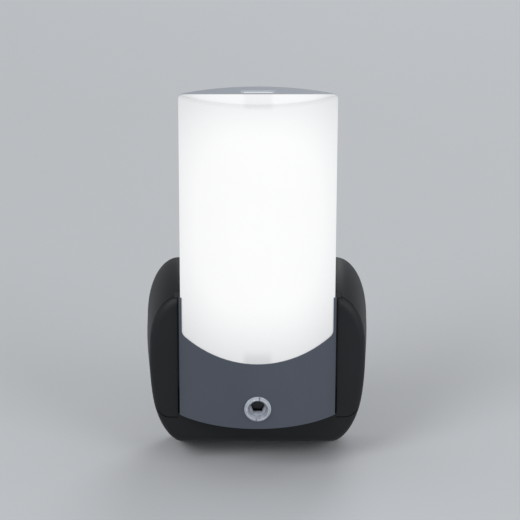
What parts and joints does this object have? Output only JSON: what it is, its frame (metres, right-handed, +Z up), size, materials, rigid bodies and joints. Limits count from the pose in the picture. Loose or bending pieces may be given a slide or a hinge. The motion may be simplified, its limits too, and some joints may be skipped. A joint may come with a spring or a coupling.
{
  "type": "plug-in night light",
  "caption": "Sensor night light: a lens-shaped lamp with frosted shade and grey sensor panel stands in a dark wall cradle that plugs straight into a mains socket.",
  "frame": {"origin": "centre of the plug's blades on the wall plane", "axes": "+Z up, +Y into the wall along the plug's blades, -Y out to the room, X across the lamp"},
  "size_m": [0.0754, 0.0561, 0.1324],
  "materials": {
    "base_plastic": "fine satin texture",
    "insert_plastic": "satin",
    "shade_plastic": "frosted opal",
    "cover_plastic": "frosted, milky grey",
    "panel_plastic": "satin silver-grey",
    "sensor_clear": "clear polished",
    "holder_plastic": "satin",
    "cell_ceramic": "dark coated",
    "reflector_white": "white gloss",
    "led_board_white": "white solder mask",
    "led_body": "phosphor under clear resin",
    "board_green": "green solder mask",
    "chip_black": "moulded epoxy",
    "film_red": "dipped lacquer",
    "sleeve_blue": "shrink sleeve",
    "resistor_body": "painted ceramic",
    "bobbin_plastic": "natural nylon",
    "copper_wire": "enamelled winding",
    "blade_metal": "stamped brass",
    "contact_brass": "stamped",
    "screw_steel": "zinc plated",
    "battery_wrap": "shrink wrap",
    "lead_red": "insulated lead",
    "button_plastic": "satin"
  },
  "bodies": {
    "base": {"base_rear_shell": "base_plastic", "base_front_shell": "base_plastic", "plug_insert": "insert_plastic", "plug_blades": "blade_metal", "blade_contacts": "contact_brass", "driver_board": "board_green", "film_capacitor": "film_red", "electrolytic_capacitor": "sleeve_blue", "bridge_rectifier": "chip_black", "fuse_resistor": "resistor_body", "driver_chip": "chip_black", "charger_bobbin": "bobbin_plastic", "charger_coil": "copper_wire", "base_screws": "screw_steel"},
    "lamp": {"shade": "shade_plastic", "front_panel": "panel_plastic", "rear_cover": "cover_plastic", "sensor_lens": "sensor_clear", "sensor_holder": "holder_plastic", "photocell": "cell_ceramic", "reflector": "reflector_white", "led_board": "led_board_white", "leds": "led_body", "control_board": "board_green", "control_chip": "chip_black", "tact_switch": "chip_black", "battery": "battery_wrap", "battery_leads": "lead_red", "pickup_bobbin": "bobbin_plastic", "pickup_coil": "copper_wire", "head_screws": "screw_steel"},
    "button": {"switch_button": "button_plastic"}
  },
  "joints": [
    {"name": "lamp_lift", "type": "slide", "parent": "base", "child": "lamp", "axis": [0, 0, 1], "range_m": [0, 0.05]},
    {"name": "button_press", "type": "slide", "parent": "lamp", "child": "button", "axis": [0, -1, 0], "range_m": [0, 0.0008], "stiffness_N_per_m": 900, "springref_m": -0.0004}
  ]
}
